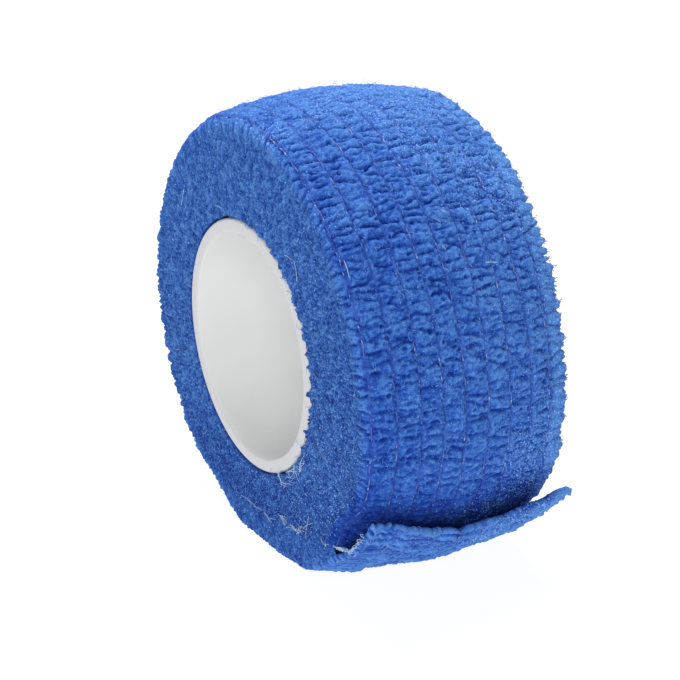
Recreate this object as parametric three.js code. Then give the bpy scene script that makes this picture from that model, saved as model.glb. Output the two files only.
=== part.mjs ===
// Cohesive bandage roll: one strip of blue crepe bandage wound on a plain white core tube.
// Millimetres, +Z up. The roll stands on its outer face on the plane z = 0. The origin is on
// its flat resting spot, straight under the core's axis, which runs along X. The loose end of
// the strip comes out from under the roll and curls up at the front, on the -Y side.
import * as THREE from 'three';

// Strip and wound cloth
const TAPE_WIDTH = 25;
const HALF_WIDTH = TAPE_WIDTH / 2;
const STRIP_THICKNESS = 1;
const WOUND = { y: -0.78, z: 24.2, edgeRadius: 25.8, crown: 1.6 };
const SHOULDER = { radius: 0.8, liftAtFloor: 0.3, stations: [0, 0.15, 0.5, 1] };

// Core tube
const CORE = { z: 23.78, innerRadius: 13.25, outerRadius: 14.9, length: 25, chamfer: 0.3 };
const BORE_RADIUS = CORE.outerRadius + 0.3;

// The wound cloth is a little out of round, in long waves around its outline.
const LOBES = [
  { waves: 2, cos: -0.07, sin: 0.2 },
  { waves: 3, cos: -0.29, sin: 0.11 },
];

// Low on the back, the outer laps sag flat. Under the loose end the lap is drawn in, most at
// the side where the end lies close.
const SLUMP = { at: -27, depth: 0.95, spread: 12 };
const DRAWN_IN = { depth: 0.7, from: 72, full: 42 };

// At the other side, behind the lifted end, the uncovered lap bulges a little.
const BULGE = { at: 58, height: 0.9, spread: 22, fall: 2 };

// Stitch threads run along the strip and pull shallow grooves between its ribs.
const THREADS = [-9.3, -6.6, -4.1, -1.5, 1.4, 4.3, 7.15, 10];
const GROOVE = { depth: 0.3, halfWidth: 0.45 };

// The loose end across the strip's width. Angles are degrees about the cloth's centre, from
// straight down towards the front: where the end leaves the roll, and where it is cut. root
// and edge are its gaps to the roll there, and a high curl keeps most of the lift near the cut.
const LOOSE_END = [
  { x: -12.5, leaves: 43, cut: 66.5, root: 0.05, edge: 2, curl: 1.2 },
  { x: -9.5, leaves: 40, cut: 65, root: 0.05, edge: 1.95, curl: 1.3 },
  { x: -6.5, leaves: 37, cut: 63, root: 0.1, edge: 1.85, curl: 1.5 },
  { x: -4, leaves: 35, cut: 61.7, root: 0.15, edge: 1.95, curl: 1.7 },
  { x: -1.5, leaves: 33, cut: 60.8, root: 0.3, edge: 2.5, curl: 1.9 },
  { x: 1, leaves: 30, cut: 61.1, root: 0.5, edge: 2.3, curl: 2.1 },
  { x: 4, leaves: 29, cut: 61.8, root: 0.6, edge: 2.8, curl: 2.3 },
  { x: 7, leaves: 28, cut: 62.8, root: 0.75, edge: 3, curl: 2.5 },
  { x: 9.5, leaves: 27, cut: 62.8, root: 1, edge: 3.3, curl: 2.7 },
  { x: 12.5, leaves: 25.5, cut: 63.9, root: 1.3, edge: 3.7, curl: 3 },
];

// Degrees over which the root gap opens, how far the outer face stops short of the cut, and
// how far past the pressed stretch the loose end starts to part
const ROOT_SPAN = 1.2;
const CUT_SLANT = 2;
const PRESSED_MARGIN = 0.5;

// Steps around the outline, in degrees or in equal parts of the loose end
const ROLL_STEP = 5;
const ROLL_FROM = 75;
const FULL_TURN = 360;
const LIE_STEPS = 4;
const END_STEPS = 8;
const BORE_SIDES = 48;
const CORE_SIDES = 64;

const { degToRad, radToDeg, lerp, smoothstep, clamp, euclideanModulo } = THREE.MathUtils;

// Place across the strip as a share, from 0 at its -X edge to 1 at its +X edge
function shareAcross(x) {
  return (x + HALF_WIDTH) / TAPE_WIDTH;
}

// Rise of the cloth's face over its edge radius, at x across the strip
function crownAt(x) {
  return WOUND.crown * (1 - (x / HALF_WIDTH) ** 2);
}

function shoulderDrop(x) {
  const inside = clamp(1 - (HALF_WIDTH - Math.abs(x)) / SHOULDER.radius, 0, 1);
  return SHOULDER.radius * (1 - Math.sqrt(1 - inside ** 2));
}

// Lowest height of the cloth at x: the floor, with the shoulders rounded up from it
function floorAt(x) {
  return (SHOULDER.liftAtFloor * shoulderDrop(x)) / SHOULDER.radius;
}

function grooveAt(x) {
  const nearest = Math.min(...THREADS.map((thread) => Math.abs(x - thread)));
  return GROOVE.depth * clamp(1 - nearest / GROOVE.halfWidth, 0, 1);
}

// A soft rise from 0 to 1 and back, around the angle at which a form lies
function swell(turn, form) {
  const away = euclideanModulo(turn - form.at + FULL_TURN / 2, FULL_TURN) - FULL_TURN / 2;
  return Math.exp(-((away / form.spread) ** 2));
}

// Radius of the wound cloth's plain outer face, before shoulders and grooves
function plainRadius(turn, x) {
  const angle = degToRad(turn);
  const wave = ({ waves, cos, sin }) => cos * Math.cos(waves * angle) + sin * Math.sin(waves * angle);
  const lobes = LOBES.reduce((sum, lobe) => sum + wave(lobe), 0);
  const slump = SLUMP.depth * swell(turn, SLUMP);
  return WOUND.edgeRadius + crownAt(x) + lobes - slump;
}

// The same face where the loose end covers it
function coveredRadius(turn, x) {
  const depth = DRAWN_IN.depth * (1 - shareAcross(x));
  return plainRadius(turn, x) - depth * (1 - smoothstep(turn, DRAWN_IN.full, DRAWN_IN.from));
}

function rollRadius(turn, x) {
  const bulge = BULGE.height * swell(turn, BULGE) * shareAcross(x) ** BULGE.fall;
  return coveredRadius(turn, x) + bulge - shoulderDrop(x) - grooveAt(x);
}

// A row of the loose end's table, blended for any x
function looseEndAt(x) {
  const next = Math.max(1, LOOSE_END.findIndex((row) => row.x >= x));
  const [a, b] = [LOOSE_END[next - 1], LOOSE_END[next]];
  const share = (x - a.x) / (b.x - a.x);
  return Object.fromEntries(Object.keys(a).map((key) => [key, lerp(a[key], b[key], share)]));
}

// Where the loose end parts from the roll: past the table's angle, and past the stretch
// where the roll still presses it flat on the floor
function partingTurn(x, end) {
  const pressed = Math.acos((WOUND.z - STRIP_THICKNESS) / coveredRadius(end.leaves, x));
  return Math.max(end.leaves, radToDeg(pressed) + PRESSED_MARGIN);
}

// Point of the outline at a radius, no lower than the given height
function outlinePoint(turn, radius, lowest) {
  const angle = degToRad(turn);
  const y = WOUND.y - radius * Math.sin(angle);
  const z = WOUND.z - radius * Math.cos(angle);
  return [y, Math.max(z, lowest)];
}

// Inner face of the loose end: the roll's face, plus a gap that grows towards the cut
function innerRadius(turn, x, end, parting) {
  const along = clamp((turn - parting) / (end.cut - parting), 0, 1);
  const root = end.root * (1 - Math.exp((parting - turn) / ROOT_SPAN));
  const lift = (end.edge - end.root) * along ** end.curl;
  return coveredRadius(turn, x) + root + lift;
}

// Closed outline of the cloth at x, as [y, z] points that run anticlockwise seen from -X
function clothOutline(x) {
  const end = looseEndAt(x);
  const parting = partingTurn(x, end);
  const outline = [];
  for (let i = 0; i < END_STEPS; i += 1) {
    const turn = lerp(parting, ROLL_FROM, i / END_STEPS);
    outline.push(outlinePoint(turn, rollRadius(turn, x), STRIP_THICKNESS));
  }
  for (let turn = ROLL_FROM; turn < FULL_TURN; turn += ROLL_STEP) {
    outline.push(outlinePoint(turn, rollRadius(turn, x), floorAt(x)));
  }
  for (let i = 0; i < LIE_STEPS; i += 1) {
    const turn = lerp(0, parting, i / LIE_STEPS);
    const outer = coveredRadius(turn, x) + STRIP_THICKNESS - grooveAt(x);
    outline.push(outlinePoint(turn, outer, floorAt(x)));
  }
  for (let i = 0; i <= END_STEPS; i += 1) {
    const turn = lerp(parting, end.cut - CUT_SLANT, i / END_STEPS);
    const outer = innerRadius(turn, x, end, parting) + STRIP_THICKNESS - grooveAt(x);
    outline.push(outlinePoint(turn, outer, floorAt(x)));
  }
  for (let i = END_STEPS; i > 0; i -= 1) {
    const turn = lerp(parting, end.cut, i / END_STEPS);
    outline.push(outlinePoint(turn, innerRadius(turn, x, end, parting), STRIP_THICKNESS));
  }
  return outline;
}

// Stations across the strip: both rounded shoulders, each groove, and the rib between two
function stations() {
  const shoulder = SHOULDER.stations.map((share) => HALF_WIDTH - share * SHOULDER.radius);
  const grooveAcross = [-GROOVE.halfWidth, 0, GROOVE.halfWidth];
  const grooves = THREADS.flatMap((thread) => grooveAcross.map((aside) => thread + aside));
  const ribs = THREADS.slice(1).map((thread, i) => (thread + THREADS[i]) / 2);
  const all = [...shoulder, ...shoulder.map((x) => -x), ...grooves, ...ribs];
  return all.sort((a, b) => a - b);
}

function boreCircle() {
  return Array.from({ length: BORE_SIDES }, (_, i) => {
    const angle = (2 * Math.PI * i) / BORE_SIDES;
    return [-BORE_RADIUS * Math.sin(angle), CORE.z - BORE_RADIUS * Math.cos(angle)];
  });
}

// Quads between two like rings of points; outward says which way their faces look
function joinRings(indices, first, second, count, outward) {
  for (let i = 0; i < count; i += 1) {
    const [a, b] = [first + i, first + ((i + 1) % count)];
    const [c, d] = [second + i, second + ((i + 1) % count)];
    indices.push(...(outward ? [a, c, d, a, d, b] : [a, d, c, a, b, d]));
  }
}

// Flat side of the cloth between its outline and the bore, looking towards -X or +X
function closeSide(indices, outline, ring, outlineStart, boreStart, towardsMinusX) {
  const flat = ([y, z]) => new THREE.Vector2(-y, z);
  const faces = THREE.ShapeUtils.triangulateShape(outline.map(flat), [ring.map(flat)]);
  const place = (i) => (i < outline.length ? outlineStart + i : boreStart + i - outline.length);
  faces.forEach((face) => {
    const [a, b, c] = face.map(place);
    indices.push(...(towardsMinusX ? [a, b, c] : [a, c, b]));
  });
}

// The wound strip with its loose end, as one closed body
function bandageGeometry() {
  const places = stations();
  const outlines = places.map(clothOutline);
  const ring = boreCircle();
  const points = outlines.flatMap((outline, i) => outline.map(([y, z]) => [places[i], y, z]));
  const boreStart = points.length;
  [-HALF_WIDTH, HALF_WIDTH].forEach((x) => ring.forEach(([y, z]) => points.push([x, y, z])));

  const indices = [];
  const count = outlines[0].length;
  for (let i = 0; i + 1 < places.length; i += 1) {
    joinRings(indices, i * count, (i + 1) * count, count, true);
  }
  joinRings(indices, boreStart, boreStart + BORE_SIDES, BORE_SIDES, false);
  closeSide(indices, outlines[0], ring, 0, boreStart, true);
  const last = places.length - 1;
  closeSide(indices, outlines[last], ring, last * count, boreStart + BORE_SIDES, false);

  const geometry = new THREE.BufferGeometry();
  geometry.setAttribute('position', new THREE.Float32BufferAttribute(points.flat(), 3));
  geometry.setIndex(indices);
  geometry.computeVertexNormals();
  return geometry;
}

// Tube with softened rims, turned about its axis and laid along X
function coreGeometry() {
  const { innerRadius: inner, outerRadius: outer, chamfer } = CORE;
  const end = CORE.length / 2;
  const half = [
    [inner, end - chamfer],
    [inner + chamfer, end],
    [outer - chamfer, end],
    [outer, end - chamfer],
  ];
  const mirrored = half.map(([radius, along]) => [radius, -along]).reverse();
  const profile = [...half, ...mirrored, half[0]].reverse();
  const points = profile.map(([radius, along]) => new THREE.Vector2(radius, along));
  return new THREE.LatheGeometry(points, CORE_SIDES).rotateZ(Math.PI / 2);
}

function part(name, geometry, material) {
  const mesh = new THREE.Mesh(geometry, material);
  mesh.name = name;
  return mesh;
}

const crepe = new THREE.MeshStandardMaterial({ color: 0x3d6cb8, roughness: 0.95, metalness: 0 });
const whitePlastic = new THREE.MeshStandardMaterial({ color: 0xd9dbda, roughness: 0.45, metalness: 0 });

const group = new THREE.Group();
group.add(part('bandage_strip', bandageGeometry(), crepe));

const core = part('core_tube', coreGeometry(), whitePlastic);
core.position.z = CORE.z;
group.add(core);

export default group;
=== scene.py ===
# %% [markdown]
# # Cohesive bandage roll
# A strip of blue crepe bandage that sticks to itself, wound on a plain white tube. This lesson
# dresses the roll's solids: pleated cloth on the outside, fluffy laps on both sides, a loose
# end, the stitch threads, loose fibres and the tube. Everything stays in the solids' frame:
# +Z is up, the roll stands on z = 0, and the tube's axis runs along X.

# %% Load the solids
import math

import bpy
import numpy as np
from mathutils import Matrix, Vector


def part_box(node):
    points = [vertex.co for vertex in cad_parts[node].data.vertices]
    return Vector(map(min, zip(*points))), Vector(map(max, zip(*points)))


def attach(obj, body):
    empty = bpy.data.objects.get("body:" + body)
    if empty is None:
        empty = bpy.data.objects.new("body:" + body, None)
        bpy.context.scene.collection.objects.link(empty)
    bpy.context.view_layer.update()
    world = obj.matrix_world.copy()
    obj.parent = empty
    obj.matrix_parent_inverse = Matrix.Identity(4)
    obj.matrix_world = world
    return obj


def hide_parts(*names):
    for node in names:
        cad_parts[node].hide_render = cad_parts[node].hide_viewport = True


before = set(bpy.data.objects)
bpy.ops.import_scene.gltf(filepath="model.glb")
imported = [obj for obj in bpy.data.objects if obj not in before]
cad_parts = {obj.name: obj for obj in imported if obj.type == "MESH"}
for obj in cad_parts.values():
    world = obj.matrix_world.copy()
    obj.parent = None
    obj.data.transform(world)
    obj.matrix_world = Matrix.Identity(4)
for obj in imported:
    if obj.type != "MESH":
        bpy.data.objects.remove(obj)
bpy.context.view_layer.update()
MM = 0.001

# %% [markdown]
# ## Camera
# The view comes first, because it says how fine the cloth must be. The camera stands to the
# left of the roll and a little above it. Three angles set it: azimuth around the roll,
# elevation over the floor, and a small roll about its own line of sight.

# %% Camera
CAMERA_AT = Vector((-81.84, -143.68, 82.34)) * MM
AZIMUTH = math.radians(-29.63)
ELEVATION = math.radians(20.04)
CAMERA_ROLL = math.radians(-1.81)
LENS_MM = 78.2
NEAR_CLIP = 0.01


def link(obj):
    bpy.context.scene.collection.objects.link(obj)
    return obj


def make_camera():
    level = math.cos(ELEVATION)
    back = Vector((math.sin(AZIMUTH) * level, -math.cos(AZIMUTH) * level, math.sin(ELEVATION)))
    right = (-back).cross(Vector((0, 0, 1))).normalized()
    up = back.cross(right)
    turned_right = right * math.cos(CAMERA_ROLL) + up * math.sin(CAMERA_ROLL)
    turned_up = up * math.cos(CAMERA_ROLL) - right * math.sin(CAMERA_ROLL)
    data = bpy.data.cameras.new("camera")
    data.lens = LENS_MM
    data.clip_start = NEAR_CLIP
    camera = link(bpy.data.objects.new("camera", data))
    turned = Matrix((turned_right, turned_up, back)).transposed().to_4x4()
    camera.matrix_world = Matrix.Translation(CAMERA_AT) @ turned
    bpy.context.scene.camera = camera


make_camera()
print("camera to roll, mm:", round(CAMERA_AT.length / MM))

# %% [markdown]
# ## Floor and light
# Small products are often shot on a lit white sweep, so that the floor throws hardly any
# shadow. A big white room would do that too, but it would also flatten the pleats. So the
# floor here glows a little, as a lit table does, and the surround is white low down and dim
# overhead.

# %% Floor
FLOOR_SIZE = 3.0
FLOOR_GREY = 0.15
FLOOR_GLOW = 0.93


def new_material(name, roughness, specular):
    material = bpy.data.materials.new(name)
    material.use_nodes = True
    shader = material.node_tree.nodes["Principled BSDF"]
    shader.inputs["Roughness"].default_value = roughness
    shader.inputs["Specular IOR Level"].default_value = specular
    return material, material.node_tree, shader


def make_floor():
    half = FLOOR_SIZE / 2
    corners = [(-half, -half, 0), (half, -half, 0), (half, half, 0), (-half, half, 0)]
    mesh = bpy.data.meshes.new("floor")
    mesh.from_pydata(corners, [], [(0, 1, 2, 3)])
    paint, _, shader = new_material("pale_floor", 0.9, 0.1)
    shader.inputs["Base Color"].default_value = (FLOOR_GREY, FLOOR_GREY, FLOOR_GREY, 1)
    shader.inputs["Emission Color"].default_value = (1, 1, 1, 1)
    shader.inputs["Emission Strength"].default_value = FLOOR_GLOW
    mesh.materials.append(paint)
    floor = link(bpy.data.objects.new("floor", mesh))


make_floor()
print("floor, metres:", FLOOR_SIZE)

# %% White surround
OVERHEAD_GLOW, HORIZON_GLOW = 0.08, 0.92
FADE_FROM, FADE_TO = 0.12, 0.35


def make_surround():
    """A surround that is bright white near the horizon and dim overhead."""
    world = bpy.data.worlds.new("white_surround")
    world.use_nodes = True
    tree = world.node_tree
    glow = tree.nodes["Background"]
    glow.inputs["Color"].default_value = (1, 1, 1, 1)
    direction = tree.nodes.new("ShaderNodeTexCoord")
    split = tree.nodes.new("ShaderNodeSeparateXYZ")
    fade = tree.nodes.new("ShaderNodeMapRange")
    fade.inputs["From Min"].default_value = FADE_FROM
    fade.inputs["From Max"].default_value = FADE_TO
    fade.inputs["To Min"].default_value = HORIZON_GLOW
    fade.inputs["To Max"].default_value = OVERHEAD_GLOW
    tree.links.new(direction.outputs["Generated"], split.inputs["Vector"])
    tree.links.new(split.outputs["Z"], fade.inputs["Value"])
    tree.links.new(fade.outputs["Result"], glow.inputs["Strength"])
    bpy.context.scene.world = world


make_surround()
print("surround:", bpy.context.scene.world.name)

# %% [markdown]
# ## Lamps
# Three soft round lamps do the rest. The one above and behind brightens the top of the roll.
# The big one near the camera lights the outer face and reaches into the tube, and a weak one
# at the left lights the side. Lengths are metres and powers are watts.

# %% Lamps
LAMPS = [
    # name, place, height that it aims at, size, power
    ("top_lamp", (0.12, 0.2, 0.6), 0.03, 0.4, 4.8),
    ("front_lamp", (-0.42, -0.52, 0.3), 0.025, 0.5, 2.5),
    ("left_lamp", (-0.5, 0.1, 0.5), 0.025, 0.5, 0.5),
]


def make_lamp(name, spot, aim_height, size, power):
    data = bpy.data.lights.new(name, "AREA")
    data.shape = "DISK"
    data.size = size
    data.energy = power
    lamp = link(bpy.data.objects.new(name, data))
    lamp.location = spot
    lamp.rotation_mode = "QUATERNION"
    aim = Vector((0, 0, aim_height)) - Vector(spot)
    lamp.rotation_quaternion = aim.to_track_quat("-Z", "Y")


for lamp_row in LAMPS:
    make_lamp(*lamp_row)
bpy.context.scene.view_settings.view_transform = "Standard"

# %% [markdown]
# ## The roll's sizes
# All lengths from here on are millimetres. A place on the roll is a pair: `turn`, in degrees
# about the cloth's centre from straight down towards the front, and `x`, across the strip. The
# width comes from the solid itself, and the other sizes are the ones it was made with, so that
# the dressed cloth lies on it.

# %% Sizes
cloth_low, cloth_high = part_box("bandage_strip")
TAPE_WIDTH = (cloth_high.x - cloth_low.x) / MM
HALF_WIDTH = TAPE_WIDTH / 2
CENTRE_Y, CENTRE_Z = -0.78, 24.2
EDGE_RADIUS, CROWN = 25.8, 1.6
SHOULDER, SHOULDER_LIFT = 0.8, 0.3
CORE_Z, CORE_INSIDE, CORE_OUTSIDE, BORE = 23.78, 13.25, 14.9, 15.2
STRIP_THICKNESS = 1.0
MEAN_RADIUS = 26.6
THREADS = [-11.95, -9.3, -6.6, -4.1, -1.5, 1.4, 4.3, 7.15, 10]
print("strip width, mm:", round(TAPE_WIDTH, 2))

# %% The wound form
LOBES = [(2, -0.07, 0.2), (3, -0.29, 0.11)]
SAG, SAG_AT, SAG_SPREAD = 0.95, -27, 12
DRAWN_IN, DRAWN_FULL, DRAWN_FROM = 0.7, 42, 72
BULGE, BULGE_AT, BULGE_SPREAD = 0.9, 58, 22


def swell(turn, at, spread):
    away = (turn - at + 180) % 360 - 180
    return np.exp(-((away / spread) ** 2))


def smooth_step(value, low, high):
    share = np.clip((value - low) / (high - low), 0, 1)
    return share * share * (3 - 2 * share)


def shoulder_drop(x):
    inside = np.clip(1 - (HALF_WIDTH - np.abs(x)) / SHOULDER, 0, 1)
    return SHOULDER * (1 - np.sqrt(1 - inside**2))


def covered_radius(turn, x):
    """The wound cloth under its loose end: crown, long waves, and a low sag at the back."""
    angle = np.radians(turn)
    waves = sum(c * np.cos(n * angle) + s * np.sin(n * angle) for n, c, s in LOBES)
    crown = CROWN * (1 - (x / HALF_WIDTH) ** 2)
    sag = SAG * swell(turn, SAG_AT, SAG_SPREAD)
    under = 1 - smooth_step(turn % 360, DRAWN_FULL, DRAWN_FROM)
    return EDGE_RADIUS + crown + waves - sag - DRAWN_IN * (0.5 - x / TAPE_WIDTH) * under


def roll_radius(turn, x):
    bulge = BULGE * swell(turn, BULGE_AT, BULGE_SPREAD) * (0.5 + x / TAPE_WIDTH) ** 2
    return covered_radius(turn, x) + bulge - shoulder_drop(x)


def place(turn, radius, x, lowest):
    """Points in mm from turn, radius and x, with nothing lower than lowest."""
    angle = np.radians(turn)
    y = CENTRE_Y - radius * np.sin(angle)
    z = np.maximum(CENTRE_Z - radius * np.cos(angle), lowest)
    return np.stack(np.broadcast_arrays(x, y, z), axis=-1)


print("radius at the top, mm:", round(float(roll_radius(180.0, 0.0)), 2))

# %% [markdown]
# ## Meshes from grids
# Cloth this fine could be sculpted or displaced by a modifier. A grid of points held in an
# array gives more control: the whole grid is shaped at once, and one function turns it into a
# mesh. A second array gives each point a tone that follows its relief, from 0 in the deepest
# crease to 1 on the highest pleat. It travels with the mesh as an attribute, so the colour can
# follow the pleats, as painted shade in the creases and painted light on the pleats.

# %% Grid helpers
def grid_quads(rows, columns, closed_rows=False):
    down = np.arange(rows if closed_rows else rows - 1)
    across = np.arange(columns - 1)
    a, b = np.meshgrid(down, across, indexing="ij")
    after = (a + 1) % rows
    corners = [a * columns + b, after * columns + b, after * columns + b + 1, a * columns + b + 1]
    return np.stack(corners, axis=-1).reshape(-1, 4)


def grid_normals(points, closed_rows=False):
    """Unit normals of a grid of points, one for each point."""
    if closed_rows:
        along = np.roll(points, -1, axis=0) - np.roll(points, 1, axis=0)
    else:
        along = np.gradient(points, axis=0)
    normal = np.cross(np.gradient(points, axis=1), along)
    return normal / np.maximum(np.linalg.norm(normal, axis=-1, keepdims=True), 1e-9)


print("quads in a grid of 3 by 4 points:", len(grid_quads(3, 4)))


# %% From a grid to a piece
def finish_piece(name, mesh, material):
    """Smooth shading, a finish, and a place on the roll, for a new mesh."""
    mesh.polygons.foreach_set("use_smooth", np.ones(len(mesh.polygons), bool))
    mesh.materials.append(material)
    piece = link(bpy.data.objects.new(name, mesh))
    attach(piece, "root")
    print(f"{name}: {sum(len(face.vertices) - 2 for face in mesh.polygons)} triangles")
    return piece


def cloth_piece(name, points, faces, values, material):
    """A piece from points in mm, in the solids' frame, with an attribute for each value."""
    mesh = bpy.data.meshes.new(name)
    mesh.from_pydata((points.reshape(-1, 3) * MM).tolist(), [], faces.tolist())
    for key, numbers in values.items():
        attribute = mesh.attributes.new(key, "FLOAT", "POINT")
        attribute.data.foreach_set("value", np.ascontiguousarray(numbers, np.float32).ravel())
    return finish_piece(name, mesh, material)


# %% [markdown]
# ## Grain
# Nonwoven cloth is a mat of fibres, so its surface is never smooth. Filtering plain random
# numbers gives lumps of any size: wide lumps for the way a pleat swells and sinks, small ones
# for the fibre. Every source of chance has its own seed, so the roll is the same each time.

# %% Grain helpers
def waves_in(shape, steps, size):
    """How many times each wave of a grid fits into size, in mm."""
    down, across = [np.fft.fftfreq(n, step) for n, step in zip(shape, steps)]
    return np.sqrt(down[:, None] ** 2 + across[None, :] ** 2) * size


def grain(shape, steps, size, seed):
    """Random lumps of about the given size, in mm, on a grid with the given steps. Spread 1."""
    noise = np.random.default_rng(seed).standard_normal(shape)
    waves = waves_in(shape, steps, size)
    soft = np.fft.ifft2(np.fft.fft2(noise) * waves * np.exp(-2 * waves**2)).real
    return soft / soft.std()


def soften(values, steps, size):
    """The same values with everything smaller than size smoothed away."""
    waves = waves_in(values.shape, steps, size)
    return np.fft.ifft2(np.fft.fft2(values) * np.exp(-2 * waves**2)).real


print("grain test, spread:", round(float(grain((64, 64), (0.2, 0.2), 1.0, 1).std()), 2))

# %% [markdown]
# ## Pleats
# The strip is made by laying stretched threads between fibre mats. When they spring back, the
# cloth between two threads gathers into short pleats. A noise texture would give even bumps, so
# each column between threads gets its own list of creases instead. A crease has a place, a
# slant, a bow, a depth, and the part of the column that it crosses. Neighbouring columns share
# most long creases, because a pleat pulls on the next one; short ones lie between.

# %% Creases of each column
PLEAT_PITCH, EVENNESS = 1.2, 30
SHORT_PITCH = 0.85
SKIPPED, SHIFTED = 0.05, 0.15
SLANT, BOW, WAVE = (-0.2, 0.25), (0.05, 0.2), (0, 0.1)
CREASE_WIDTH = (0.11, 0.2)
SHORT_DEPTH, LONG_DEPTH = (0.1, 0.38), (0.2, 0.5)
SHORT_HALF, LONG_HALF, FULL_HALF = (0.16, 0.36), (0.36, 0.66), 1.4
SHORT_PLACES, LONG_PLACE, PLACE_SPREAD = [0.1, 0.5, 0.9], 0.5, 0.12
OVERLAP = 75
STRIP_LENGTH = MEAN_RADIUS * math.radians(360 + OVERLAP)
COLUMNS = [-HALF_WIDTH, *THREADS, HALF_WIDTH]
chance = np.random.default_rng(21)


def crease_list(shared, narrow):
    """The creases of one column, each quality an array with one entry for each crease."""
    long_at = shared[chance.random(len(shared)) > SKIPPED]
    long_at = long_at + chance.normal(0, SHIFTED, len(long_at))
    slots = np.arange(int(STRIP_LENGTH / SHORT_PITCH))
    short_at = (slots + chance.random(len(slots))) * SHORT_PITCH
    count = len(long_at) + len(short_at)
    short = np.arange(count) >= len(long_at)
    aside = chance.choice(SHORT_PLACES, count) + chance.normal(0, PLACE_SPREAD, count)
    short_half = chance.uniform(*SHORT_HALF, count)
    long_half = FULL_HALF if narrow else chance.uniform(*LONG_HALF, count)
    slant, bow, wave = [chance.normal(*spread, count) for spread in (SLANT, BOW, WAVE)]
    short_depth, long_depth = [chance.uniform(*d, count) for d in (SHORT_DEPTH, LONG_DEPTH)]
    return {
        "at": np.concatenate([long_at, short_at]),
        "slant": slant,
        "bow": bow,
        "wave": wave,
        "depth": np.where(short, short_depth, long_depth),
        "width": chance.uniform(*CREASE_WIDTH, count),
        "middle": np.where(short, aside, chance.normal(LONG_PLACE, PLACE_SPREAD, count)),
        "half": np.where(short, short_half, long_half),
    }


pleat_count = int(STRIP_LENGTH / PLEAT_PITCH)
shared_creases = np.cumsum(chance.gamma(EVENNESS, PLEAT_PITCH / EVENNESS, pleat_count))
last_column = len(COLUMNS) - 2
crease_columns = []
for number in range(last_column + 1):
    crease_columns.append(crease_list(shared_creases, narrow=number in (0, last_column)))
print("creases in all:", sum(len(c["at"]) for c in crease_columns))

# %% Depth of the creases
SLIT, TROUGH, TROUGH_WIDTH = 0.62, 0.38, 0.42
LENS = 0.6


def crease_depth(along, x):
    """How deep the creases cut, in mm, down one line of the strip: narrow slits in troughs."""
    index = min(max(np.searchsorted(COLUMNS, x, side="right") - 1, 0), last_column)
    column = crease_columns[index]
    left, right = COLUMNS[index], COLUMNS[index + 1]
    share = (x - left) / (right - left)
    line = column["at"] + column["slant"] * (share - 0.5)
    line = line + column["bow"] * 4 * share * (1 - share)
    line = line + column["wave"] * math.sin(2 * math.pi * share)
    reach = np.clip(1 - ((share - column["middle"]) / column["half"]) ** 2, 0, 1) ** LENS
    away = np.abs(along[:, None] - line[None, :])
    slit = SLIT * np.exp(-((away / column["width"]) ** 2))
    cut = slit + TROUGH * np.exp(-away / TROUGH_WIDTH)
    return (cut * (column["depth"] * reach)[None, :]).sum(axis=1)


print("first crease depths, mm:", crease_columns[1]["depth"][:4].round(2))

# %% [markdown]
# ## Relief of the pleated cloth
# The creases are not all. At a thread the cloth is pinched in. Here and there it is knotted
# into a small round pit with a raised ring. And grain of two sizes keeps every pleat uneven.

# %% Pinches and pits
PINCH_DEPTH, PINCH_WIDTH = 0.3, 0.24
PIT_COUNT, PIT_MARGIN, PIT_REACH = 700, 1.5, 4
PIT_SIZE, PIT_DEPTH = (0.15, 0.24), (0.18, 0.4)
RING, RING_AT, RING_WIDTH = 0.3, 1.9, 0.7


def pit_list():
    """Place along and across, size and depth of each pit."""
    inner = HALF_WIDTH - PIT_MARGIN
    ranges = [(0, STRIP_LENGTH), (-inner, inner), PIT_SIZE, PIT_DEPTH]
    return np.stack([chance.uniform(*limits, PIT_COUNT) for limits in ranges], axis=1)


def thread_pinch(x):
    nearest = min(abs(x - thread) for thread in THREADS)
    return PINCH_DEPTH * math.exp(-nearest / PINCH_WIDTH)


def sink_pits(height, along, lines):
    """Sinks each pit, with the raised ring round it, into a grid of heights."""
    for at, x, size, depth in pits:
        rows = np.flatnonzero(np.abs(along - at) < PIT_REACH * size)
        near = np.flatnonzero(np.abs(lines - x) < PIT_REACH * size)
        if len(rows) and len(near):
            away = np.hypot(along[rows, None] - at, lines[None, near] - x) / size
            ring = RING * np.exp(-(((away - RING_AT) / RING_WIDTH) ** 2)) - np.exp(-(away**2))
            height[np.ix_(rows, near)] += depth * ring


pits = pit_list()
print("pits:", len(pits))

# %% Height of the pleated cloth
FACE_HEIGHT = 0.3
EDGE_BAND, EDGE_LIFT, EDGE_CUT = 1.9, 0.2, 0.35
CALM_EDGE, CALM_FROM, CALM_FULL = 0.5, 2.2, 0.8
LUMPS = [(0.04, 1.2), (0.055, 0.36)]


def pleat_relief(along, lines, seed):
    """Height of the pleated cloth over its plain face, for a grid of along by lines."""
    height = np.zeros((len(along), len(lines)))
    for j, x in enumerate(lines):
        edge = smooth_step(x, HALF_WIDTH - EDGE_BAND, HALF_WIDTH)
        cut = crease_depth(along, x) * (1 + EDGE_CUT * edge)
        height[:, j] = FACE_HEIGHT + EDGE_LIFT * edge - cut - thread_pinch(x)
    sink_pits(height, along, lines)
    steps = (float(np.mean(np.diff(along))), TAPE_WIDTH / len(lines))
    calm = 1 - CALM_EDGE * smooth_step(lines, HALF_WIDTH - CALM_FROM, HALF_WIDTH - CALM_FULL)
    for k, (lump_height, lump_size) in enumerate(LUMPS):
        height += lump_height * grain(height.shape, steps, lump_size, seed + k) * calm
    return height


sample = pleat_relief(np.linspace(20, 40, 100), np.linspace(-11, 11, 60), 3)
print("pleat depth, mm:", round(float(np.percentile(sample, 98) - np.percentile(sample, 2)), 2))
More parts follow.
